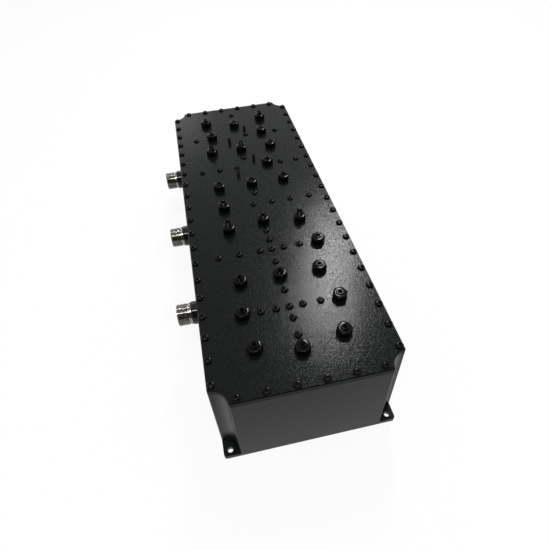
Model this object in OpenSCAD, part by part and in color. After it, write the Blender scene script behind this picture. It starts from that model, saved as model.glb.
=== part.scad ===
// Cavity duplexer: twelve coaxial cavities, a screwed tuning lid and three coaxial ports.
// Millimetres. Origin at the centre of the mounting face, +Z up, +Y along the body,
// ports on the -X side.

/* [Body] */
// Width across the port side
body_w = 120.5; // [110:0.5:140]
// Length of the body
body_l = 349; // [330:1:380]
// Height from the mounting face to the top of the lid
body_h = 73; // [68:1:85]
// Thickness of the lid plate
lid_t = 3; // [2.5:0.5:5]
// Thickness of the floor under the cavities
floor_t = 6; // [5.5:0.5:8]
// Thickness of the side walls
side_wall = 6; // [5.5:0.5:8]
// Thickness of the end walls
end_wall = 6.8; // [6:0.2:9]
// Thickness of the walls between cavities
inner_wall = 5; // [4.5:0.5:6]
// Radius in the upright corners of the cavities
cavity_r = 4; // [2:0.5:6]
// How far the wall between the two filters lies from the middle, towards the near end
filter_wall_shift = 1.2; // [0:0.2:8]
// Width of the flat broken on outer edges
edge_break = 0.8; // [0.4:0.1:1.2]
// Width of the flat broken on the outer edges where the lid meets the housing
seam_break = 0.4; // [0.2:0.1:0.6]

/* [Corners and feet] */
// Radius of the scallop at each corner
scallop_r = 11.2; // [10:0.2:13]
// Least wall between a scallop and the cavity behind it
scallop_wall = 3.4; // [2.5:0.1:4]
// Thickness of the feet
foot_t = 3.5; // [3:0.5:5]
// Corner radius of the feet
foot_r = 2; // [1:0.5:4]
// Diameter of the hole in each foot
foot_hole_d = 3.8; // [3.2:0.1:4.4]
// Distance of a foot hole from the long side
foot_hole_x = 4.7; // [4:0.1:5.5]
// Distance of a foot hole from the end
foot_hole_y = 4.2; // [4:0.1:5.5]

/* [Lid screws] */
// Thread diameter of the lid screws
screw_d = 2.5; // [2:0.5:3]
// Length of the lid screws under the head
screw_l = 10; // [8:1:14]
// Head diameter of the lid screws
screw_head_d = 4.7; // [4:0.1:5.5]
// Head height of the lid screws
screw_head_h = 1.8; // [1.6:0.1:3]
// Width of the rounding round the lid screws' heads
screw_head_round = 0.7; // [0.4:0.1:1]
// Width across the flats of the lid screws' recess
screw_hex = 2; // [1.5:0.1:2.5]
// Depth of the lid screws' recess
screw_recess = 1.3; // [1:0.1:1.6]
// Screws along each long side
side_screws = 20; // [10:1:22]
// Screws along each end
end_screws = 6; // [3:1:7]
// Distance from the end face to the first screw of a long side
side_screw_gap = 14.5; // [14:0.5:18]
// Distance from the side face to the first screw of an end
end_screw_gap = 15.8; // [15:0.2:18]

/* [Tuning screws] */
// Thread diameter of the tuning and coupling screws
tuner_d = 5; // [4:0.5:6]
// Length of the tuning and coupling screws
tuner_l = 30; // [26:1:34]
// Width of the bevel at their ends
tuner_break = 0.5; // [0.3:0.1:0.8]
// Width across the flats of their socket
tuner_hex = 2.5; // [2:0.5:3]
// Width across the flats of the lock nuts
nut_af = 9; // [8:0.5:10]
// Height of the lock nuts
nut_h = 4.8; // [4:0.1:6]
// Angle at which their upper corners are turned off
nut_bevel = 30; // [20:5:35]
// Angle to which the first lock nut is turned
nut_turn = 52; // [0:1:59]
// How much less each next lock nut is turned
nut_turn_step = 6; // [0:1:20]
// Diameter of the slender trimmers
trimmer_d = 3; // [2:0.5:4]
// Length of the slender trimmers
trimmer_l = 20; // [16:1:24]
// How far the slender trimmers stand above the lid
trimmer_rise = 5.5; // [4:0.5:10]
// Width of the slot across a trimmer's end
trimmer_slot = 0.5; // [0.4:0.1:0.8]

/* [Resonators] */
// Height of the posts above the floor
post_h = 54; // [48:1:56]
// Diameter of the posts
post_d = 16; // [14:0.5:18]
// Diameter of the disc at the top of a post
disc_d = 23; // [20:0.5:26]
// Thickness of the disc
disc_t = 3; // [2:0.5:4]
// Diameter of the foot of a post
post_foot_d = 20; // [18:0.5:24]
// Height of the foot of a post
post_foot_h = 4; // [3:0.5:5]
// Diameter of the well that the tuning screw enters
well_d = 10; // [9:0.5:11]
// Thickness of metal left under the well
well_floor = 6; // [5:0.5:8]
// Least thickness of metal round the well
well_wall = 1.5; // [1:0.5:2]
// Diameter of the common post at the antenna port
junction_d = 12; // [11:0.5:14]
// Thread diameter of the bolts that hold the posts
post_bolt_d = 4; // [3:0.5:5]
// Head diameter of the bolts that hold the posts
post_bolt_head_d = 7; // [6:0.5:8]
// Width across the flats of the sockets of these bolts
post_bolt_hex = 3; // [2.5:0.5:4]

/* [Ports] */
// Depth of the port axes below the top of the lid
port_drop = 20.6; // [19:0.2:26]
// Outer diameter of the port thread
port_thread_d = 15.88; // [15.5:0.02:16]
// Length of the port thread
port_thread_l = 6.3; // [5:0.1:8]
// Length of the relief behind the port thread
port_relief_l = 0.7; // [0.5:0.1:1.5]
// Depth of that relief
port_relief_depth = 0.7; // [0.4:0.1:0.8]
// Width of the bevel at the rim of a port
port_break = 0.5; // [0.3:0.1:0.8]
// Length of the smooth collar of a port
port_collar_l = 1.8; // [1:0.1:3]
// Diameter of the threaded stub that passes through the wall
port_stub_d = 14; // [13:0.1:14.4]
// Diameter of the socket
socket_d = 8.1; // [8:0.05:8.6]
// Depth from the rim of a socket to its bead
socket_depth = 10; // [9:0.5:11]
// Diameter of the flare at the rim of a socket
socket_mouth_d = 11.4; // [10:0.2:12]
// Depth of the flare at the rim of a socket
socket_mouth_l = 1.2; // [0.5:0.1:2]
// Diameter of the centre contact
contact_d = 3.04; // [2.9:0.02:3.2]
// Bore of the centre contact
contact_bore = 1.7; // [1.6:0.05:1.9]
// Depth of that bore
contact_bore_l = 5; // [4:0.5:6]
// Width of the slots in the centre contact
contact_slot = 0.35; // [0.3:0.05:0.5]
// Length of the slots in the centre contact
contact_slot_l = 4; // [3:0.5:4]
// Depth from the rim to the tip of the centre contact
contact_recess = 5; // [4.7:0.1:5.5]
// How far a centre contact reaches into the cavity
contact_tail = 6; // [4:0.5:8]
// Outer diameter of the spacer rings
spacer_d = 16.7; // [16.4:0.1:19]
// Length of the spacer rings
spacer_l = 6.8; // [5:0.1:9]
// Width of the bevel at the ends of the spacer rings
spacer_break = 0.4; // [0.2:0.1:0.6]
// Diameter of the tap links
link_d = 2; // [1.5:0.1:2.5]
// Height of the tap links' lower run above the floor
link_h = 24; // [20:1:30]

/* [Fits] */
// Radial clearance of a screw in its thread
thread_gap = 0.2; // [0.15:0.05:0.3]
// Radial clearance between pieces that are pressed or soldered together
seat_gap = 0.06; // [0.04:0.02:0.1]

/* [Hidden] */
$fn = 64;
ports = 3;
rows = 6;
rows_per_filter = rows / 2;
columns = [-1, 1];
ends = [-1, 1];
cut = 1;
tap_run_out = 2;
floor_skin = 2;
bolt_end_gap = 1;
hex_corners = 1 / cos(30);
nut_top_r = nut_af / 2 - seat_gap;
wall_top = body_h - lid_t;
tap_depth = screw_l - lid_t + tap_run_out;
floor_tap = floor_t - floor_skin;

// Places along the body: end walls are walls 0 and 6, and row i lies between walls i and i + 1
filter_wall_y = -filter_wall_shift;
end_wall_y = (body_l - end_wall) / 2;
near_pitch = (filter_wall_y + end_wall_y) / rows_per_filter;
far_pitch = (end_wall_y - filter_wall_y) / rows_per_filter;
function wall_y(i) = filter_wall_y
    + (i - rows_per_filter) * (i < rows_per_filter ? near_pitch : far_pitch);
function wall_half(i) = (i == 0 || i == rows ? end_wall : inner_wall) / 2;
function row_lo(i) = wall_y(i) + wall_half(i);
function row_hi(i) = wall_y(i + 1) - wall_half(i + 1);
function row_y(i) = (row_lo(i) + row_hi(i)) / 2;

// Places across the body
cavity_in_x = inner_wall / 2;
cavity_out_x = body_w / 2 - side_wall;
column_x = (cavity_in_x + cavity_out_x) / 2;

// Windows in the wall between the columns: row, distance from the row's middle, width, sill
middle_windows = [
    [0, -6.5, 16, 24],
    [1, 0, 18, 44],
    [2, 5, 14, 24],
    [3, 0, 18, 24],
    [4, 0.5, 20, 44],
    [5, -9, 16, 24],
];
// Windows in the cross walls: wall, distance from the middle wall, width, sill
cross_windows = [
    [1, -31.3, 18, 28],
    [1, 34.3, 18, 28],
    [2, 35.4, 18, 28],
    [4, 19.5, 18, 28],
    [5, -25.4, 20, 28],
    [5, 24.6, 20, 28],
];
// Free edge of the wall between the two filters, beside the common post
filter_wall_end_x = -8;

// Screws that hold the lid to the cross walls: wall, then distances from the middle wall
cross_wall_screws = [
    [1, [-19.2, -9, 0, 9, 21.2]],
    [2, [-40.2, -24.6, -9.2, 0, 9, 21]],
    [3, [-4, 11.8, 27.5, 43.5]],
    [4, [-40.8, -25, -9.2, 31.6, 46.7]],
    [5, [-41.2, 8.6, 38.6]],
];
// Screws that hold the lid to the middle wall: row, distance from the row's middle
middle_wall_screws = [
    [0, 4.5],
    [0, 18.3],
    [1, -13.4],
    [1, 14.8],
    [2, -18],
    [2, -6.8],
    [3, -13.4],
    [4, -13.9],
    [5, 15],
];
// Slender trimmers: distance across, wall, distance from that wall
trimmers = [
    [-9.5, 4, -11.2],
    [8.4, 4, 9.8],
    [-9.5, 5, -12.2],
    [8.5, 5, 7.3],
];

// How far each screw stands above the lid
tuning_rise = [6.4, 6, 7.1, 5.8, 10.4, 9.2, 6.6, 6.4, 8.5, 6.2, 6.7, 7.9];
middle_rise = [5.6, 6.4, 7.3, 6.4, 9, 5.6];
cross_rise = [6, 5.6, 6, 5.8, 6.1, 5.6];
junction_rise = 7.9;

post_places = [for (i = [0:rows - 1]) for (s = columns) [s * column_x, row_y(i)]];
junction_place = [-column_x, filter_wall_y];
middle_places = [for (w = middle_windows) [0, row_y(w[0]) + w[1]]];
cross_places = [for (w = cross_windows) [w[1], wall_y(w[0])]];
coupling_places = concat(middle_places, cross_places, [junction_place]);
coupling_rise = concat(middle_rise, cross_rise, [junction_rise]);
tuner_places = concat(post_places, coupling_places);
trimmer_places = [for (t = trimmers) [t[0], wall_y(t[1]) + t[2]]];

rim_x = (body_w - side_wall) / 2;
rim_y = end_wall_y;
side_pitch = (body_l - 2 * side_screw_gap) / (side_screws - 1);
end_pitch = (body_w - 2 * end_screw_gap) / (end_screws - 1);
rim_places = concat(
    [
        for (s = columns) for (i = [0:side_screws - 1])
            [s * rim_x, -body_l / 2 + side_screw_gap + i * side_pitch]
    ],
    [
        for (s = ends) for (i = [0:end_screws - 1])
            [-body_w / 2 + end_screw_gap + i * end_pitch, s * rim_y]
    ]
);
partition_places = concat(
    [for (w = cross_wall_screws) for (x = w[1]) [x, wall_y(w[0])]],
    [for (w = middle_wall_screws) [0, row_y(w[0]) + w[1]]]
);

// Ports lie beside the posts of rows 2 and 5 and beside the common post, each a little off its post
port_shift = [-1, -0.9, -2];
tap_targets = [[-column_x, row_y(1)], junction_place, [-column_x, row_y(4)]];
tap_radii = [post_d / 2, junction_d / 2, post_d / 2];
port_y = [for (i = [0:ports - 1]) tap_targets[i][1] + port_shift[i]];
port_z = body_h - port_drop;
port_shoulder = spacer_l;
port_neck = port_shoulder + port_collar_l;
port_thread = port_neck + port_relief_l;
port_rim = port_thread + port_thread_l;
bead_face = port_rim - socket_depth;
contact_tip = port_rim - contact_recess;

black = "#1b1c1d";
screw_black = "#101112";
silver = "#c9c8c2";
nickel = "#b9b5a8";
gold = "#c9a24a";
white = "#ece9e0";

function numbered(name, n) = [for (i = [1:n]) str(name, "_", i)];

// A rectangle with a scallop at each corner, its edges broken where the scallops start
module scalloped_outline(w, l) {
    difference() {
        square([w, l], center = true);
        for (sx = columns, sy = ends)
            translate([sx * w / 2, sy * l / 2]) {
                circle(r = scallop_r);
                for (p = [[-sx * scallop_r, 0], [0, -sy * scallop_r]])
                    translate(p)
                        rotate(45)
                            square(edge_break, center = true);
            }
    }
}

// A rectangle with round corners
module rounded_outline(w, l, r) {
    difference() {
        square([w, l], center = true);
        for (sx = columns, sy = ends)
            translate([sx * (w / 2 - r), sy * (l / 2 - r)])
                difference() {
                    translate([min(0, sx) * 2 * r, min(0, sy) * 2 * r])
                        square(2 * r);
                    circle(r = r);
                }
    }
}

// The plan of one cavity, kept clear of the scallop of the corner beside it
module cavity_outline(row, side) {
    l = row_hi(row) - row_lo(row);
    difference() {
        translate([side * column_x, row_y(row)])
            rounded_outline(cavity_out_x - cavity_in_x, l, cavity_r);
        for (sy = ends)
            translate([side * body_w / 2, sy * body_l / 2])
                circle(r = scallop_r + scallop_wall);
    }
}

// A window cut down from the top of a wall to its sill
module window(width, across, sill) {
    translate([0, 0, sill + (wall_top - sill + cut) / 2])
        cube([width, across, wall_top - sill + cut], center = true);
}

// Turns a shape from +Z to the outward direction of the ports, at port i
module at_port(i) {
    translate([-body_w / 2, port_y[i], port_z])
        rotate([0, -90, 0])
            children();
}

// A prism that breaks one straight upper edge along X
module edge_prism(length, width) {
    rotate([45, 0, 0])
        cube([length, width, width], center = true);
}

// What breaks the outer edges of a top face on the plane z = 0: prisms, and a cone at each scallop
module edge_breaks(width) {
    flare = width / sqrt(2);
    for (s = columns)
        translate([s * body_w / 2, 0, 0])
            rotate(90)
                edge_prism(body_l, width);
    for (s = ends)
        translate([0, s * body_l / 2, 0])
            edge_prism(body_w, width);
    for (sx = columns, sy = ends)
        translate([sx * body_w / 2, sy * body_l / 2, -flare])
            cylinder(r1 = scallop_r, r2 = scallop_r + 2 * flare, h = 2 * flare);
}

module housing() {
    window_across = inner_wall + 2 * cavity_r;
    color(black)
        difference() {
            union() {
                linear_extrude(foot_t)
                    rounded_outline(body_w, body_l, foot_r);
                linear_extrude(wall_top)
                    scalloped_outline(body_w, body_l);
            }
            translate([0, 0, wall_top])
                edge_breaks(seam_break);
            for (row = [0:rows - 1], side = columns)
                translate([0, 0, floor_t])
                    linear_extrude(body_h)
                        cavity_outline(row, side);
            for (w = middle_windows)
                translate([0, row_y(w[0]) + w[1], 0])
                    rotate(90)
                        window(w[2], window_across, w[3]);
            for (w = cross_windows)
                translate([w[1], wall_y(w[0]), 0])
                    window(w[2], window_across, w[3]);
            translate([(filter_wall_end_x - cavity_out_x) / 2, filter_wall_y, 0])
                window(cavity_out_x + filter_wall_end_x, window_across, floor_t);
            for (p = concat(rim_places, partition_places))
                translate([p[0], p[1], wall_top - tap_depth])
                    cylinder(d = screw_d + 2 * seat_gap, h = tap_depth + cut);
            for (p = concat(post_places, [junction_place]))
                translate([p[0], p[1], floor_t - floor_tap])
                    cylinder(d = post_bolt_d + 2 * seat_gap, h = floor_tap + cut);
            for (i = [0:ports - 1])
                at_port(i)
                    translate([0, 0, -side_wall - cut])
                        cylinder(d = port_stub_d + 2 * seat_gap, h = side_wall + 2 * cut);
            for (sx = columns, sy = ends)
                translate([sx * (body_w / 2 - foot_hole_x), sy * (body_l / 2 - foot_hole_y), -cut])
                    cylinder(d = foot_hole_d, h = foot_t + 2 * cut);
        }
}

module lid() {
    color(black)
        translate([0, 0, wall_top])
            difference() {
                linear_extrude(lid_t)
                    scalloped_outline(body_w, body_l);
                translate([0, 0, lid_t])
                    edge_breaks(edge_break);
                mirror([0, 0, 1])
                    edge_breaks(seam_break);
                for (p = concat(rim_places, partition_places))
                    translate([p[0], p[1], -cut])
                        cylinder(d = screw_d + 2 * thread_gap, h = lid_t + 2 * cut);
                for (p = tuner_places)
                    translate([p[0], p[1], -cut])
                        cylinder(d = tuner_d + 2 * thread_gap, h = lid_t + 2 * cut);
                for (p = trimmer_places)
                    translate([p[0], p[1], -cut])
                        cylinder(d = trimmer_d + 2 * thread_gap, h = lid_t + 2 * cut);
            }
}

// A lid screw, seated on the plane z = 0: a low head with a rounded rim and a hex recess
module lid_screw() {
    head_r = screw_head_d / 2;
    inset = screw_head_round * (1 - sqrt(0.5));
    difference() {
        union() {
            rotate_extrude()
                polygon([
                    [0, 0],
                    [head_r, 0],
                    [head_r, screw_head_h - screw_head_round],
                    [head_r - inset, screw_head_h - inset],
                    [head_r - screw_head_round, screw_head_h],
                    [0, screw_head_h],
                ]);
            translate([0, 0, -screw_l])
                cylinder(d = screw_d, h = screw_l + cut / 2);
        }
        translate([0, 0, screw_head_h - screw_recess])
            cylinder(d = screw_hex * hex_corners, h = screw_recess + cut, $fn = 6);
    }
}

module screw_group(places) {
    color(screw_black)
        for (p = places)
            translate([p[0], p[1], body_h])
                lid_screw();
}

// A set screw that hangs from z = 0: a rod with its ends broken and a hex socket
module tuner() {
    difference() {
        rotate_extrude()
            polygon([
                [0, -tuner_l],
                [tuner_d / 2 - tuner_break, -tuner_l],
                [tuner_d / 2, -tuner_l + tuner_break],
                [tuner_d / 2, -tuner_break],
                [tuner_d / 2 - tuner_break, 0],
                [0, 0],
            ]);
        translate([0, 0, -tuner_hex])
            cylinder(d = tuner_hex * hex_corners, h = tuner_hex + cut, $fn = 6);
    }
}

module tuning_screw(i) {
    color(screw_black)
        translate([post_places[i][0], post_places[i][1], body_h + tuning_rise[i]])
            tuner();
}

module coupling_screw(i) {
    color(screw_black)
        translate([coupling_places[i][0], coupling_places[i][1], body_h + coupling_rise[i]])
            tuner();
}

module trimmer_screw(i) {
    color(screw_black)
        translate([trimmer_places[i][0], trimmer_places[i][1], body_h + trimmer_rise])
            difference() {
                translate([0, 0, -trimmer_l])
                    cylinder(d = trimmer_d, h = trimmer_l);
                cube([trimmer_d + cut, trimmer_slot, 2 * trimmer_slot], center = true);
            }
}

// A hex nut on the plane z = 0 with its upper corners turned off
module lock_nut() {
    blank_r = nut_af / 2 * hex_corners + cut;
    difference() {
        intersection() {
            cylinder(d = nut_af * hex_corners, h = nut_h, $fn = 6);
            rotate_extrude()
                polygon([
                    [0, 0],
                    [blank_r, 0],
                    [blank_r, nut_h - (blank_r - nut_top_r) * tan(nut_bevel)],
                    [nut_top_r, nut_h],
                    [0, nut_h],
                ]);
        }
        translate([0, 0, -cut])
            cylinder(d = tuner_d + 2 * thread_gap, h = nut_h + 2 * cut);
    }
}

module lock_nuts() {
    color(screw_black)
        for (i = [0:len(tuner_places) - 1])
            translate([tuner_places[i][0], tuner_places[i][1], body_h])
                rotate(nut_turn - nut_turn_step * i)
                    lock_nut();
}

// A hollow post with a foot and a top disc, standing on z = 0
module post(shaft_d, top_d, foot_d) {
    difference() {
        rotate_extrude()
            union() {
                square([foot_d / 2, post_foot_h]);
                square([shaft_d / 2, post_h]);
                translate([0, post_h - disc_t])
                    square([top_d / 2 - disc_t / 2, disc_t]);
                translate([top_d / 2 - disc_t / 2, post_h - disc_t / 2])
                    circle(d = disc_t, $fn = 32);
            }
        translate([0, 0, well_floor])
            cylinder(d = min(well_d, shaft_d - 2 * well_wall), h = post_h);
        translate([0, 0, -cut])
            cylinder(d = post_bolt_d + 2 * thread_gap, h = post_h);
    }
}

module resonator(i) {
    color(silver)
        translate([post_places[i][0], post_places[i][1], floor_t])
            post(post_d, disc_d, post_foot_d);
}

module junction_post() {
    color(silver)
        translate([junction_place[0], junction_place[1], floor_t])
            post(junction_d, junction_d + disc_t, junction_d + post_foot_d - post_d);
}

module resonator_bolts() {
    color(silver)
        for (p = concat(post_places, [junction_place]))
            translate([p[0], p[1], floor_t + well_floor])
                difference() {
                    union() {
                        cylinder(d = post_bolt_head_d, h = post_bolt_d);
                        translate([0, 0, -well_floor - floor_tap + bolt_end_gap])
                            cylinder(d = post_bolt_d, h = well_floor + floor_tap);
                    }
                    translate([0, 0, post_bolt_d / 2])
                        cylinder(d = post_bolt_hex * hex_corners, h = post_bolt_d, $fn = 6);
                }
}

// A jack body on the port axis: stub through the wall, collar, relief and threaded barrel
module port_shell(i) {
    thread_r = port_thread_d / 2;
    relief_r = thread_r - port_relief_depth;
    color(nickel)
        at_port(i)
            rotate_extrude()
                polygon([
                    [socket_d / 2, -side_wall],
                    [port_stub_d / 2, -side_wall],
                    [port_stub_d / 2, port_shoulder],
                    [thread_r, port_shoulder],
                    [thread_r, port_neck],
                    [relief_r, port_neck],
                    [relief_r, port_thread],
                    [thread_r, port_thread],
                    [thread_r, port_rim - port_break],
                    [thread_r - port_break, port_rim],
                    [socket_mouth_d / 2, port_rim],
                    [socket_d / 2, port_rim - socket_mouth_l],
                ]);
}

module port_insulator(i) {
    color(white)
        at_port(i)
            translate([0, 0, -side_wall])
                difference() {
                    cylinder(d = socket_d - 2 * seat_gap, h = side_wall + bead_face);
                    translate([0, 0, -cut])
                        cylinder(d = contact_d + 2 * seat_gap, h = side_wall + bead_face + 2 * cut);
                }
}

// The centre contact, bored and slotted at its tip
module port_contact(i) {
    color(gold)
        at_port(i)
            difference() {
                translate([0, 0, -side_wall - contact_tail])
                    cylinder(d = contact_d, h = side_wall + contact_tail + contact_tip);
                translate([0, 0, contact_tip - contact_bore_l])
                    cylinder(d = contact_bore, h = contact_bore_l + cut);
                for (a = [0, 90])
                    rotate(a)
                        translate([0, 0, contact_tip])
                            cube([contact_d + cut, contact_slot, 2 * contact_slot_l], center = true);
            }
}

module port_spacers() {
    bore = port_stub_d / 2 + seat_gap;
    color(screw_black)
        for (i = [0:ports - 1])
            at_port(i)
                rotate_extrude()
                    polygon([
                        [bore, 0],
                        [spacer_d / 2 - spacer_break, 0],
                        [spacer_d / 2, spacer_break],
                        [spacer_d / 2, spacer_l - spacer_break],
                        [spacer_d / 2 - spacer_break, spacer_l],
                        [bore, spacer_l],
                    ]);
}

// A wire from a contact's tail down and across to the side of its post
module tap_link(i) {
    bend_r = 2 * link_d;
    tail_x = -cavity_out_x + contact_tail - link_d / 2;
    drop = port_z - contact_d / 2 - seat_gap;
    low = floor_t + link_h;
    aside = max(0, abs(port_y[i] - tap_targets[i][1]) - link_d / 2);
    end_x = tap_targets[i][0] - sqrt(pow(tap_radii[i], 2) - pow(aside, 2));
    translate([tail_x, port_y[i], 0]) {
        translate([0, 0, low + bend_r])
            cylinder(d = link_d, h = drop - low - bend_r);
        translate([bend_r, 0, low + bend_r])
            rotate([90, 0, 0])
                rotate(180)
                    rotate_extrude(angle = 90)
                        translate([bend_r, 0])
                            circle(d = link_d, $fn = 32);
        translate([bend_r, 0, low])
            rotate([0, 90, 0])
                cylinder(d = link_d, h = end_x - tail_x - bend_r - seat_gap);
    }
}

module tap_links() {
    color(gold)
        for (i = [0:ports - 1])
            tap_link(i);
}

housing();
lid();
screw_group(rim_places);  // lid_screws
screw_group(partition_places);  // partition_screws
lock_nuts();
resonator_bolts();
resonator(0);  // resonator_1
resonator(1);  // resonator_2
resonator(2);  // resonator_3
resonator(3);  // resonator_4
resonator(4);  // resonator_5
resonator(5);  // resonator_6
resonator(6);  // resonator_7
resonator(7);  // resonator_8
resonator(8);  // resonator_9
resonator(9);  // resonator_10
resonator(10);  // resonator_11
resonator(11);  // resonator_12
junction_post();
tuning_screw(0);  // tuning_screw_1
tuning_screw(1);  // tuning_screw_2
tuning_screw(2);  // tuning_screw_3
tuning_screw(3);  // tuning_screw_4
tuning_screw(4);  // tuning_screw_5
tuning_screw(5);  // tuning_screw_6
tuning_screw(6);  // tuning_screw_7
tuning_screw(7);  // tuning_screw_8
tuning_screw(8);  // tuning_screw_9
tuning_screw(9);  // tuning_screw_10
tuning_screw(10);  // tuning_screw_11
tuning_screw(11);  // tuning_screw_12
coupling_screw(0);  // coupling_screw_1
coupling_screw(1);  // coupling_screw_2
coupling_screw(2);  // coupling_screw_3
coupling_screw(3);  // coupling_screw_4
coupling_screw(4);  // coupling_screw_5
coupling_screw(5);  // coupling_screw_6
coupling_screw(6);  // coupling_screw_7
coupling_screw(7);  // coupling_screw_8
coupling_screw(8);  // coupling_screw_9
coupling_screw(9);  // coupling_screw_10
coupling_screw(10);  // coupling_screw_11
coupling_screw(11);  // coupling_screw_12
coupling_screw(12);  // coupling_screw_13
trimmer_screw(0);  // trimmer_screw_1
trimmer_screw(1);  // trimmer_screw_2
trimmer_screw(2);  // trimmer_screw_3
trimmer_screw(3);  // trimmer_screw_4
port_shell(0);  // port_shell_1
port_shell(1);  // port_shell_2
port_shell(2);  // port_shell_3
port_insulator(0);  // port_insulator_1
port_insulator(1);  // port_insulator_2
port_insulator(2);  // port_insulator_3
port_contact(0);  // port_contact_1
port_contact(1);  // port_contact_2
port_contact(2);  // port_contact_3
port_spacers();
tap_links();
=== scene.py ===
import bpy
import numpy as np
from mathutils import Matrix, Vector


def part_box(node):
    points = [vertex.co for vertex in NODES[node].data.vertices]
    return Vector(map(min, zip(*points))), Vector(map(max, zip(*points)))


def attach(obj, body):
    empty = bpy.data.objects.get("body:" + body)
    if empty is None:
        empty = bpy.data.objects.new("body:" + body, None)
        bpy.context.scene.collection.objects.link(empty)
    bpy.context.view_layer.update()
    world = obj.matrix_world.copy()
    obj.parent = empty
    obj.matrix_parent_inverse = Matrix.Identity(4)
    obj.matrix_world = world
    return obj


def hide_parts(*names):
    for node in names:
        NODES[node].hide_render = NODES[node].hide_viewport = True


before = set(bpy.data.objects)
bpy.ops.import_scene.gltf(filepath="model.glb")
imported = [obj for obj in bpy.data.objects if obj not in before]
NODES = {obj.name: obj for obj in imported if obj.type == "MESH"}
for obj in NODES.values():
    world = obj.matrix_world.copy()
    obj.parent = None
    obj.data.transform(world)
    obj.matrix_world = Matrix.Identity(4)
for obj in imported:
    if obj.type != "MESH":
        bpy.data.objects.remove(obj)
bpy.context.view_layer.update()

MM = 0.001
LID_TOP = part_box("lid")[1].z
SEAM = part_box("lid")[0].z
SIDE_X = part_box("housing")[0].x


def numbered(name, count):
    """A name with each number from 1 to count."""
    return ["%s_%d" % (name, number) for number in range(1, count + 1)]


TUNERS = numbered("tuning_screw", 12)
COUPLERS = numbered("coupling_screw", 13)
TRIMMERS = numbered("trimmer_screw", 4)
PORTS = numbered("port_shell", 3)

scene = bpy.context.scene
scene.view_settings.view_transform = "Standard"


# Shader nodes


def wire(tree, source, output, target, socket):
    """Links an output of one node to an input of another."""
    tree.links.new(source.outputs[output], target.inputs[socket])


def math_node(tree, operation, *values):
    """A Math node. Each of its values is a plain number, or a node and the name of its output."""
    node = tree.nodes.new("ShaderNodeMath")
    node.operation = operation
    for socket, value in enumerate(values):
        if isinstance(value, tuple):
            wire(tree, *value, node, socket)
        else:
            node.inputs[socket].default_value = value
    return node


def map_range(tree, source, output, start, stop, low, high):
    """Maps a value between start and stop to the range from low to high, and holds it past them."""
    span = tree.nodes.new("ShaderNodeMapRange")
    span.inputs["From Min"].default_value = start
    span.inputs["From Max"].default_value = stop
    span.inputs["To Min"].default_value = low
    span.inputs["To Max"].default_value = high
    wire(tree, source, output, span, "Value")
    return span


# Camera, floor and light


def aim_camera(place, right, up, lens):
    """A camera at place whose picture axes are the two given directions."""
    data = bpy.data.cameras.new("camera")
    data.sensor_width = 36
    data.lens = lens
    data.clip_start = 10 * MM
    camera = bpy.data.objects.new("camera", data)
    scene.collection.objects.link(camera)
    x = Vector(right).normalized()
    z = x.cross(Vector(up)).normalized()
    y = z.cross(x)
    turn = Matrix((x, y, z)).transposed().to_4x4()
    turn.translation = Vector(place)
    camera.matrix_world = turn
    scene.camera = camera


def make_world(glow, dusk, dark_way, first, last):
    """A room of strength glow that is dim, of strength dusk, round one direction. It goes from glow
    to dusk as the dot product of the direction looked in with that one goes from first to last. The
    camera sees it white all round, and glossy and transmission rays see it white where it isn't
    dim."""
    world = bpy.data.worlds.new("room")
    scene.world = world
    world.use_nodes = True
    tree = world.node_tree
    tree.nodes.clear()
    path = tree.nodes.new("ShaderNodeLightPath")
    looked = tree.nodes.new("ShaderNodeTexCoord")
    along = tree.nodes.new("ShaderNodeVectorMath")
    along.operation = "DOT_PRODUCT"
    along.inputs[1].default_value = Vector(dark_way).normalized()
    wire(tree, looked, "Generated", along, 0)
    strength = map_range(tree, along, "Value", first, last, glow, dusk)
    bright = map_range(tree, along, "Value", first, last, 1, 0)
    for span in (strength, bright):
        span.interpolation_type = "SMOOTHSTEP"
    shiny = math_node(tree, "MAXIMUM", (path, "Is Glossy Ray"), (path, "Is Transmission Ray"))
    shown = math_node(tree, "MULTIPLY", (shiny, "Value"), (bright, "Result"))
    seen = math_node(tree, "MAXIMUM", (shown, "Value"), (path, "Is Camera Ray"))
    room = tree.nodes.new("ShaderNodeBackground")
    white = tree.nodes.new("ShaderNodeBackground")
    for background in (room, white):
        background.inputs["Color"].default_value = (1, 1, 1, 1)
    mix = tree.nodes.new("ShaderNodeMixShader")
    out = tree.nodes.new("ShaderNodeOutputWorld")
    wire(tree, strength, "Result", room, "Strength")
    wire(tree, seen, "Value", mix, 0)
    wire(tree, room, "Background", mix, 1)
    wire(tree, white, "Background", mix, 2)
    wire(tree, mix, "Shader", out, "Surface")


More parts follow.
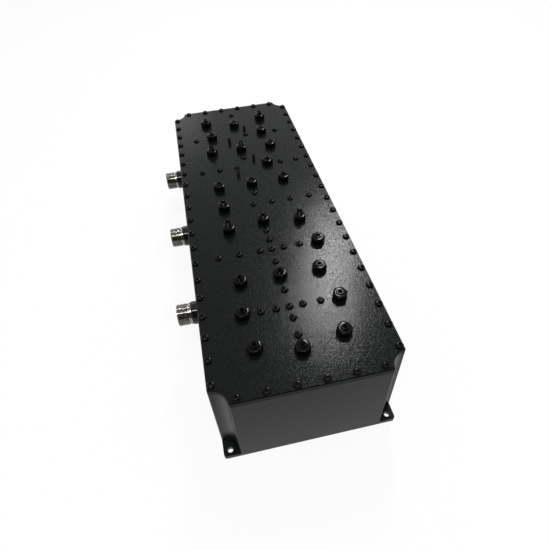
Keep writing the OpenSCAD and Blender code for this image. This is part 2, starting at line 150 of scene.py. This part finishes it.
def make_floor(half, paper_white, glow_share):
    """A wide sheet of paper under the feet. Camera, glossy and transmission rays see a share of it
    as plain white, and the rest of it as lit paper, which keeps a faint shadow."""
    mesh = bpy.data.meshes.new("floor")
    corners = [(-half, -half, 0), (half, -half, 0), (half, half, 0), (-half, half, 0)]
    mesh.from_pydata(corners, [], [(0, 1, 2, 3)])
    floor = bpy.data.objects.new("floor", mesh)
    scene.collection.objects.link(floor)
    material = bpy.data.materials.new("white_paper")
    material.use_nodes = True
    tree = material.node_tree
    tree.nodes.clear()
    path = tree.nodes.new("ShaderNodeLightPath")
    paper = tree.nodes.new("ShaderNodeBsdfDiffuse")
    paper.inputs["Color"].default_value = (paper_white, paper_white, paper_white, 1)
    white = tree.nodes.new("ShaderNodeEmission")
    white.inputs["Strength"].default_value = 1.0
    either = math_node(tree, "MAXIMUM", (path, "Is Camera Ray"), (path, "Is Glossy Ray"))
    seen = math_node(tree, "MAXIMUM", (either, "Value"), (path, "Is Transmission Ray"))
    share = math_node(tree, "MULTIPLY", (seen, "Value"), glow_share)
    mix = tree.nodes.new("ShaderNodeMixShader")
    out = tree.nodes.new("ShaderNodeOutputMaterial")
    wire(tree, share, "Value", mix, 0)
    wire(tree, paper, "BSDF", mix, 1)
    wire(tree, white, "Emission", mix, 2)
    wire(tree, mix, "Shader", out, "Surface")
    mesh.materials.append(material)


def softbox(name, place, target, width, length, brightness):
    """A lamp at place that faces target, longest away from the target. Its power is its brightness
    times pi times its area."""
    data = bpy.data.lights.new(name, "AREA")
    data.shape = "RECTANGLE"
    data.size = width
    data.size_y = length
    data.energy = brightness * np.pi * width * length
    lamp = bpy.data.objects.new(name, data)
    scene.collection.objects.link(lamp)
    lamp.location = Vector(place)
    way = Vector(place) - Vector(target)
    lamp.rotation_euler = way.to_track_quat("Z", "Y").to_euler()
    lamp.visible_camera = False


# The photo's camera, solved from the edges of the housing

aim_camera(
    place=(-0.03832, -0.29171, 0.29799),
    right=(0.97693, -0.20948, -0.04141),
    up=(0.18092, 0.70898, 0.68162),
    lens=28.633,
)
make_world(glow=0.55, dusk=0.12, dark_way=(0, -0.85, 0.53), first=0.42, last=0.75)
make_floor(half=6.0, paper_white=0.8, glow_share=0.9)

# The window makes the glare on the lid, the strip the bright lines on the jacks, and the far lamp
# the glow at the lid's far end

softbox(
    "window",
    place=(0.37, 0.82, 1.14),
    target=(0.03, -0.09, 0.073),
    width=0.115,
    length=0.46,
    brightness=69,
)
softbox(
    "strip",
    place=(-0.15, -0.52, 1.32),
    target=(-0.07, -0.03, 0.05),
    width=0.75,
    length=0.2,
    brightness=24,
)
softbox(
    "far",
    place=(-0.22, 1.93, 0.8),
    target=(-0.08, 0.2, 0.073),
    width=0.4,
    length=0.4,
    brightness=2,
)


# Finishes

# Nearly all of a noise lies between these two values

NOISE_LOW = 0.3
NOISE_HIGH = 0.7


def finish_tree(name):
    """A new material with its Principled shader and Object coordinates."""
    material = bpy.data.materials.new(name)
    material.use_nodes = True
    tree = material.node_tree
    shader = tree.nodes["Principled BSDF"]
    place = tree.nodes.new("ShaderNodeTexCoord")
    return material, tree, shader, place


def grain(tree, place, size, detail=2.0, stretch=None):
    """Noise whose lumps are about size across, in metres. Stretch scales it along x, y and z."""
    noise = tree.nodes.new("ShaderNodeTexNoise")
    noise.inputs["Scale"].default_value = 1 / size
    noise.inputs["Detail"].default_value = detail
    if stretch is None:
        wire(tree, place, "Object", noise, "Vector")
    else:
        mapping = tree.nodes.new("ShaderNodeMapping")
        mapping.inputs["Scale"].default_value = stretch
        wire(tree, place, "Object", mapping, "Vector")
        wire(tree, mapping, "Vector", noise, "Vector")
    return noise


def tint(tree, source, dark, light):
    """Blends two colours by a noise."""
    ramp = tree.nodes.new("ShaderNodeValToRGB")
    ends = ramp.color_ramp.elements
    for end, position, colour in zip(ends, (NOISE_LOW, NOISE_HIGH), (dark, light)):
        end.position = position
        end.color = (*colour, 1)
    wire(tree, source, "Fac", ramp, "Fac")
    return ramp


def spread(tree, source, low, high, start=NOISE_LOW, stop=NOISE_HIGH):
    """Maps a noise between start and stop to a range of plain numbers."""
    return map_range(tree, source, "Fac", start, stop, low, high)


def dents(tree, source, strength, height):
    """A bump from a noise."""
    bump = tree.nodes.new("ShaderNodeBump")
    bump.inputs["Strength"].default_value = strength
    bump.inputs["Distance"].default_value = height
    wire(tree, source, "Fac", bump, "Height")
    return bump


def seam_dullness(tree, place, dull, near, far):
    """A roughness that is dull within near of the height of the joint under the lid, and fades to
    zero at far from it."""
    parts = tree.nodes.new("ShaderNodeSeparateXYZ")
    wire(tree, place, "Object", parts, 0)
    above = math_node(tree, "SUBTRACT", (parts, "Z"), SEAM)
    apart = math_node(tree, "ABSOLUTE", (above, "Value"))
    return map_range(tree, apart, "Value", near, far, dull, 0.0)


def lay_on(tree, shader, colour, roughness, bump=None):
    """Wires a finish's colour, roughness and bump to its shader."""
    wire(tree, colour, "Color", shader, "Base Color")
    wire(tree, roughness, 0, shader, "Roughness")
    if bump is not None:
        wire(tree, bump, "Normal", shader, "Normal")


def powder_coat(name, sheen, gloss, speck, speck_size, speck_edge, dull, dull_edge):
    """Black powder coat: a fine orange peel and duller specks on a gloss, and duller sides at the
    joint under the lid. Gloss, speck and dull are roughnesses. The specks fade in between two
    values of their noise, and the dull sides fade out between two distances from the joint."""
    material, tree, shader, place = finish_tree(name)
    shader.inputs["Specular IOR Level"].default_value = sheen
    waves = grain(tree, place, size=3.0 * MM)
    peel = grain(tree, place, size=0.7 * MM, detail=0.0)
    specks = grain(tree, place, speck_size, detail=0.0)
    colour = tint(tree, waves, dark=(0.0028, 0.0038, 0.0036), light=(0.0045, 0.0056, 0.0053))
    surface = spread(tree, specks, gloss, speck, *speck_edge)
    joint = seam_dullness(tree, place, dull, *dull_edge)
    duller = math_node(tree, "MAXIMUM", (surface, "Result"), (joint, "Result"))
    lay_on(tree, shader, colour, duller, dents(tree, peel, strength=1.0, height=0.06 * MM))
    return material


def black_oxide(name, sheen):
    """Oxide-black steel with an oily sheen and a faint brown cast."""
    material, tree, shader, place = finish_tree(name)
    shader.inputs["Specular IOR Level"].default_value = sheen
    cast = grain(tree, place, size=4.0 * MM)
    scuffs = grain(tree, place, size=0.5 * MM)
    colour = tint(tree, cast, dark=(0.002, 0.002, 0.0022), light=(0.004, 0.0039, 0.0037))
    rough = spread(tree, scuffs, low=0.04, high=0.08)
    lay_on(tree, shader, colour, rough, dents(tree, scuffs, strength=0.2, height=0.02 * MM))
    return material


def turned_metal(name, dark, light, low, high, stretch):
    """Plated metal with fine marks of turning, drawn out by the stretch of their noise."""
    material, tree, shader, place = finish_tree(name)
    shader.inputs["Metallic"].default_value = 1.0
    film = grain(tree, place, size=3.0 * MM)
    marks = grain(tree, place, size=1.0 * MM, detail=3.0, stretch=stretch)
    colour = tint(tree, film, dark, light)
    rough = spread(tree, marks, low, high)
    lay_on(tree, shader, colour, rough, dents(tree, marks, strength=0.15, height=0.02 * MM))
    return material


def smooth_plastic(name, sheen, dark, light, low, high):
    """A moulded or anodised surface with a faint cloudiness."""
    material, tree, shader, place = finish_tree(name)
    shader.inputs["Specular IOR Level"].default_value = sheen
    cloud = grain(tree, place, size=2.0 * MM)
    lay_on(tree, shader, tint(tree, cloud, dark, light), spread(tree, cloud, low, high))
    return material


lid_coat = powder_coat(
    "glossy_powder_coat",
    sheen=0.085,
    gloss=0.11,
    speck=0.32,
    speck_size=0.9 * MM,
    speck_edge=(0.52, 0.65),
    dull=0.5,
    dull_edge=(1.9 * MM, 2.6 * MM),
)
body_coat = powder_coat(
    "satin_powder_coat",
    sheen=0.105,
    gloss=0.26,
    speck=0.32,
    speck_size=0.35 * MM,
    speck_edge=(NOISE_LOW, NOISE_HIGH),
    dull=1.0,
    dull_edge=(0.3 * MM, 0.6 * MM),
)
steel = black_oxide("black_oxide_steel", sheen=0.085)
nickel = turned_metal(
    "turned_nickel",
    dark=(0.24, 0.235, 0.22),
    light=(0.305, 0.295, 0.275),
    low=0.10,
    high=0.18,
    stretch=(8, 0.4, 0.4),
)
silver = turned_metal(
    "silver_plate",
    dark=(0.78, 0.77, 0.73),
    light=(0.88, 0.87, 0.84),
    low=0.15,
    high=0.25,
    stretch=(0.4, 0.4, 8),
)
gold = turned_metal(
    "gold_plate",
    dark=(0.75, 0.52, 0.19),
    light=(0.86, 0.63, 0.27),
    low=0.12,
    high=0.22,
    stretch=(8, 0.4, 0.4),
)
ring_black = smooth_plastic(
    "ring_black",
    sheen=0.25,
    dark=(0.002, 0.002, 0.002),
    light=(0.003, 0.003, 0.003),
    low=0.05,
    high=0.08,
)
bead_white = smooth_plastic(
    "bead_white",
    sheen=0.5,
    dark=(0.80, 0.79, 0.75),
    light=(0.86, 0.85, 0.82),
    low=0.35,
    high=0.5,
)


# Surfaces as arrays


def even_angles(count):
    """Angles once round, the first at zero."""
    return np.arange(count) * 2 * np.pi / count


def ring(radius, height, count):
    """One ring of points: a radius and a height at each of count angles. Either may vary."""
    return np.stack(
        [np.broadcast_to(radius, (count,)), np.broadcast_to(height, (count,))], axis=1
    )


def profile_rings(profile, count):
    """One ring for each radius and height of a turned profile."""
    return [ring(radius, height, count) for radius, height in profile]


def rounded_corner(radius, height, size, start, steps=3):
    """Points on a quarter circle round a profile's corner. Start is the angle of its first point,
    in quarter turns, and radius and height are those of the quarter's own centre."""
    a = (start + np.linspace(0, 1, steps + 1)) * np.pi / 2
    return list(zip(radius + size * np.cos(a), height + size * np.sin(a)))


def hexagon_radius(flats, count):
    """Distance from the middle to the side of a hexagon with a corner at angle zero: half the width
    across the flats over the cosine of the angle from the middle of the nearest flat."""
    sixth = np.pi / 3
    return flats / 2 / np.cos(even_angles(count) % sixth - sixth / 2)


def thread_wave(turns):
    """Depth of a V thread from 0 at the crest to 1 at the root. It follows twice the distance from
    the nearest whole turn, less a flat crest, over the flank, and is held at 0 and 1."""
    flat_crest = 0.12
    flank = 0.7
    from_crest = np.abs((turns + 0.5) % 1 - 0.5) * 2
    return np.clip((from_crest - flat_crest) / flank, 0, 1)


def thread_rings(crest, depth, pitch, low, high, end, per_turn, count):
    """Rings up a thread from low to high. The radius is the crest less the depth times the wave of
    height over pitch less angle over one turn. Near each end it is no more than the end's radius
    plus the distance from that end."""
    angles = even_angles(count)
    steps = int(round((high - low) / pitch * per_turn))
    heights = np.linspace(low, high, steps + 1)
    turns = heights[:, None] / pitch - angles[None, :] / (2 * np.pi)
    radii = crest - depth * thread_wave(turns)
    from_end = np.minimum(heights - low, high - heights)[:, None]
    radii = np.minimum(radii, end + from_end)
    return list(np.stack([radii, np.broadcast_to(heights[:, None], radii.shape)], axis=2))


def ring_mesh(rings, closed=False):
    """Points, quads and triangles of a stack of rings, whose point at angle a is (radius cos a,
    radius sin a, height). A closed stack joins its last ring to its first. An open one is closed at
    each end by a fan to a point on the axis."""
    rings = np.asarray(rings, float)
    rows, count = rings.shape[:2]
    a = even_angles(count)
    points = np.stack(
        [rings[..., 0] * np.cos(a), rings[..., 0] * np.sin(a), rings[..., 1]], axis=2
    ).reshape(-1, 3)
    last = rows if closed else rows - 1
    i, j = np.meshgrid(np.arange(last), np.arange(count), indexing="ij")
    k, m = (i + 1) % rows, (j + 1) % count
    quads = np.stack([i * count + j, i * count + m, k * count + m, k * count + j], axis=2)
    quads = quads.reshape(-1, 4)
    if closed:
        return points, quads, np.zeros((0, 3), int)
    ends = np.array([[0, 0, rings[0, :, 1].mean()], [0, 0, rings[-1, :, 1].mean()]])
    j = np.arange(count)
    m = (j + 1) % count
    low, top = len(points), (rows - 1) * count
    under = np.stack([np.full(count, low), m, j], axis=1)
    over = np.stack([np.full(count, low + 1), top + j, top + m], axis=1)
    return np.concatenate([points, ends]), quads, np.concatenate([under, over])


def joined(shapes):
    """Several shapes as one, with the faces of each numbered past the points before them."""
    points, quads, triangles = zip(*shapes)
    first = np.cumsum([0] + [len(p) for p in points])
    return (
        np.concatenate(points),
        np.concatenate([faces + start for faces, start in zip(quads, first)]),
        np.concatenate([faces + start for faces, start in zip(triangles, first)]),
    )


def set_down(shape, places, turns):
    """The same shape at several places, each turned about its own upright axis."""
    points, quads, triangles = shape
    places = np.asarray(places, float)
    c, s = np.cos(turns)[:, None], np.sin(turns)[:, None]
    x, y, z = points.T
    turned = np.stack(np.broadcast_arrays(x * c - y * s, x * s + y * c, z), axis=2)
    shift = np.arange(len(places))[:, None, None] * len(points)
    return (
        (turned + places[:, None, :]).reshape(-1, 3),
        (quads[None] + shift).reshape(-1, 4),
        (triangles[None] + shift).reshape(-1, 3),
    )


def laid_to_port(shape, y, z):
    """A shape turned from the z axis to the outward way of the ports, at a port's place."""
    points, quads, triangles = shape
    out = np.stack([SIDE_X - points[:, 2], y + points[:, 1], z + points[:, 0]], axis=1)
    return out, quads, triangles


# Pieces and their places

# Faces that meet at less than this angle are shaded as one

SMOOTH_BELOW = np.radians(35)


def add_piece(name, shape, material, body, nodes):
    """A piece at the origin from arrays of points, quads and triangles, which rides on a body and
    stands for its solids."""
    points, quads, triangles = shape
    mesh = bpy.data.meshes.new(name)
    mesh.vertices.add(len(points))
    mesh.vertices.foreach_set("co", np.ascontiguousarray(points, np.float32).ravel())
    corners = np.concatenate([quads.ravel(), triangles.ravel()]).astype(np.int32)
    starts = np.concatenate(
        [np.arange(len(quads)) * 4, quads.size + np.arange(len(triangles)) * 3]
    ).astype(np.int32)
    mesh.loops.add(len(corners))
    mesh.loops.foreach_set("vertex_index", corners)
    mesh.polygons.add(len(starts))
    mesh.polygons.foreach_set("loop_start", starts)
    mesh.update(calc_edges=True)
    mesh.validate()
    mesh.polygons.foreach_set("use_smooth", np.ones(len(starts), bool))
    mesh.set_sharp_from_angle(angle=SMOOTH_BELOW)
    mesh.materials.append(material)
    piece = bpy.data.objects.new(name, mesh)
    scene.collection.objects.link(piece)
    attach(piece, body)
    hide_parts(*nodes)


def middle_and_top(node):
    """The middle of a solid's box across, and the height of its top."""
    low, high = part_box(node)
    return (low.x + high.x) / 2, (low.y + high.y) / 2, high.z


def shank_places(node, reach, level=0.1 * MM):
    """The middle of each upright screw of a node: its points within level of the lowest, gathered
    where they lie within reach of one another."""
    mesh = NODES[node].data
    points = np.zeros(len(mesh.vertices) * 3, np.float32)
    mesh.vertices.foreach_get("co", points)
    points = points.reshape(-1, 3).astype(float)
    points = points[points[:, 2] < points[:, 2].min() + level][:, :2]
    apart = np.hypot(*(points[:, None] - points[None]).transpose(2, 0, 1))
    first = (apart < reach).argmax(axis=1)
    keys = np.unique(first)
    low = np.array([points[first == k].min(axis=0) for k in keys])
    high = np.array([points[first == k].max(axis=0) for k in keys])
    return (low + high) / 2


# Screws and nuts

# The turn of the first nut, and the step from each nut or small head to the next

NUT_TURN = np.radians(52)
NUT_TURN_STEP = np.radians(-6)
HEAD_TURN_STEP = np.radians(17)


def socket_foot(hexagon, height, point, count):
    """The foot of a hexagon socket, and the point of its drill below."""
    tip = 0.1 * hexagon
    return [ring(hexagon, height, count), ring(tip, height - point, count)]


def set_screw_shape(radius, pitch, depth, length, flats, socket, count=24):
    """A threaded rod that hangs from height zero, with a hexagon socket in its countersunk top. The
    countersink falls by its slope times what it narrows."""
    rows_per_turn = 6
    end = radius - depth - 0.1 * MM
    sink_rim = radius - depth - 0.25 * MM
    sink_slope = 0.8
    drill_point = 0.4 * MM
    hexagon = hexagon_radius(flats, count)
    rings = thread_rings(radius, depth, pitch, -length, 0, end, rows_per_turn, count)
    rings += [ring(sink_rim, 0, count), ring(hexagon, (hexagon - sink_rim) * sink_slope, count)]
    return ring_mesh(rings + socket_foot(hexagon, -socket, drill_point, count))


def slender_screw_shape(radius, pitch, depth, length, count=16):
    """A slender threaded rod that hangs from height zero, with a dished end."""
    rows_per_turn = 5
    end = radius - depth - 0.1 * MM
    dish_rim = 0.45 * radius
    dish_floor = 0.35 * radius
    dish_depth = 0.4 * MM
    rings = thread_rings(radius, depth, pitch, -length, 0, end, rows_per_turn, count)
    rings += [ring(dish_rim, 0, count), ring(dish_floor, -dish_depth, count)]
    return ring_mesh(rings)


def lock_nut_shape(flats, height, hole, count=48):
    """A hexagon nut whose corners are turned off at 30 degrees above and below: the height of each
    bevel's edge is the corner's distance past the turned circle times the tangent of 30 degrees."""
    hexagon = hexagon_radius(flats, count)
    circle = flats / 2 - 0.1 * MM
    drop = (hexagon - circle) * np.tan(np.pi / 6)
    lead = 0.35 * MM
    rings = [
        ring(hole, lead, count),
        ring(hole + lead, 0, count),
        ring(circle, 0, count),
        ring(hexagon, drop, count),
        ring(hexagon, height - drop, count),
        ring(circle, height, count),
        ring(hole + lead, height, count),
        ring(hole, height - lead, count),
    ]
    return ring_mesh(rings, closed=True)


def button_screw_shape(head, height, flats, recess, shank, length, count=24):
    """A button head with a hexagon recess, and its shank below. The dome is a quarter of an ellipse
    from the head's edge to a flat round the recess."""
    edge = 0.3 * MM
    flat = 1.2 * MM
    dome_points = 6
    drill_point = 0.3 * MM
    a = np.linspace(0, np.pi / 2, dome_points)
    dome = zip(flat + (head - flat) * np.cos(a), edge + (height - edge) * np.sin(a))
    rings = profile_rings([(shank, -length), (shank, 0), (head, 0)] + list(dome), count)
    hexagon = hexagon_radius(flats, count)
    rings.append(ring(hexagon, height, count))
    return ring_mesh(rings + socket_foot(hexagon, height - recess, drill_point, count))


tuner_shape = set_screw_shape(
    radius=2.5 * MM,
    pitch=0.8 * MM,
    depth=0.45 * MM,
    length=30 * MM,
    flats=2.5 * MM,
    socket=3 * MM,
)
nut_places, nut_turns = [], []
for number, node in enumerate(TUNERS + COUPLERS):
    x, y, top = middle_and_top(node)
    turn = NUT_TURN + NUT_TURN_STEP * number
    screw = set_down(tuner_shape, [(x, y, top)], [turn])
    add_piece(node + "_threaded", screw, steel, node + "_body", [node])
    nut_places.append((x, y, LID_TOP))
    nut_turns.append(turn)

trimmer_shape = slender_screw_shape(
    radius=1.5 * MM,
    pitch=0.5 * MM,
    depth=0.27 * MM,
    length=20 * MM,
)
for node in TRIMMERS:
    screw = set_down(trimmer_shape, [middle_and_top(node)], [0])
    add_piece(node + "_threaded", screw, steel, node + "_body", [node])

nut_low, nut_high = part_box("lock_nuts")
nut_shape = lock_nut_shape(flats=9 * MM, height=nut_high.z - nut_low.z, hole=2.7 * MM)
nuts = set_down(nut_shape, nut_places, nut_turns)
add_piece("lock_nuts_bevelled", nuts, steel, "housing_body", ["lock_nuts"])

head_shape = button_screw_shape(
    head=2.7 * MM,
    height=1.7 * MM,
    flats=2 * MM,
    recess=1.1 * MM,
    shank=1.25 * MM,
    length=10 * MM,
)
for node in ("lid_screws", "partition_screws"):
    spots = shank_places(node, reach=4 * MM)
    places = np.column_stack([spots, np.full(len(spots), LID_TOP)])
    heads = set_down(head_shape, places, np.arange(len(spots)) * HEAD_TURN_STEP)
    add_piece(node + "_rounded", heads, steel, "housing_body", [node])


# Jacks

SPACER_LENGTH = 5.3 * MM


def jack_shape(count=96):
    """A jack body along its axis from the wall: stub, collar, relief, thread of 24 to the inch,
    rim, flared mouth and bore."""
    bore = 4.05 * MM
    stub = 7.0 * MM
    stub_end = -6 * MM
    bevel = 0.3 * MM
    crest = 7.94 * MM
    collar_end = 6.8 * MM
    relief = 7.24 * MM
    thread_start = 7.5 * MM
    thread_depth = 0.62 * MM
    pitch = 25.4 * MM / 24
    rows_per_turn = 8
    rim = 7.3 * MM
    rim_round = 0.25 * MM
    mouth_end = 15.6 * MM
    mouth = 5.8 * MM
    lip = 0.1 * MM
    flare_length = 1.1 * MM
    outer = [
        (bore, stub_end),
        (stub - bevel, stub_end),
        (stub, stub_end + bevel),
        (stub, SPACER_LENGTH),
        (crest - bevel, SPACER_LENGTH),
        (crest, SPACER_LENGTH + bevel),
        (crest, collar_end - bevel),
        (crest - bevel, collar_end),
        (relief, collar_end),
        (relief, thread_start),
    ]
    thread = thread_rings(
        crest, thread_depth, pitch, thread_start, mouth_end, rim, rows_per_turn, count
    )
    inner = rounded_corner(rim - rim_round, mouth_end - rim_round, rim_round, start=0)[1:] + [
        (mouth, mouth_end),
        (mouth - 2 * lip, mouth_end - lip),
        (bore, mouth_end - lip - flare_length),
    ]
    rings = profile_rings(outer, count) + thread + profile_rings(inner, count)
    return ring_mesh(rings, closed=True)


def spacer_shape(count=96):
    """A turned ring with rounded outer edges, the farther one softer."""
    bore = 7.06 * MM
    wide = 8.35 * MM
    near = 0.3 * MM
    far = 0.7 * MM
    profile = (
        [(bore, 0)]
        + rounded_corner(wide - near, near, near, start=-1)
        + rounded_corner(wide - far, SPACER_LENGTH - far, far, start=0, steps=5)
        + [(bore, SPACER_LENGTH)]
    )
    return ring_mesh(profile_rings(profile, count), closed=True)


jack = jack_shape()
spacer = spacer_shape()
spacers = []
for node in PORTS:
    low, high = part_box(node)
    y, z = (low.y + high.y) / 2, (low.z + high.z) / 2
    shell = laid_to_port(jack, y, z)
    add_piece(node + "_threaded", shell, nickel, "housing_body", [node])
    spacers.append(laid_to_port(spacer, y, z))
rounded = joined(spacers)
add_piece(
    "port_spacers_rounded", rounded, ring_black, "housing_body", ["port_spacers"]
)


# Solids that stay as they are, with their finishes

KEPT_FINISHES = {
    "lid": lid_coat,
    "housing": body_coat,
    "resonator": silver,
    "resonator_bolts": silver,
    "junction_post": silver,
    "port_contact": gold,
    "tap_links": gold,
    "port_insulator": bead_white,
}

for name, node in NODES.items():
    kind = name.rstrip("_0123456789")
    if kind in KEPT_FINISHES:
        node.data.materials.clear()
        node.data.materials.append(KEPT_FINISHES[kind])
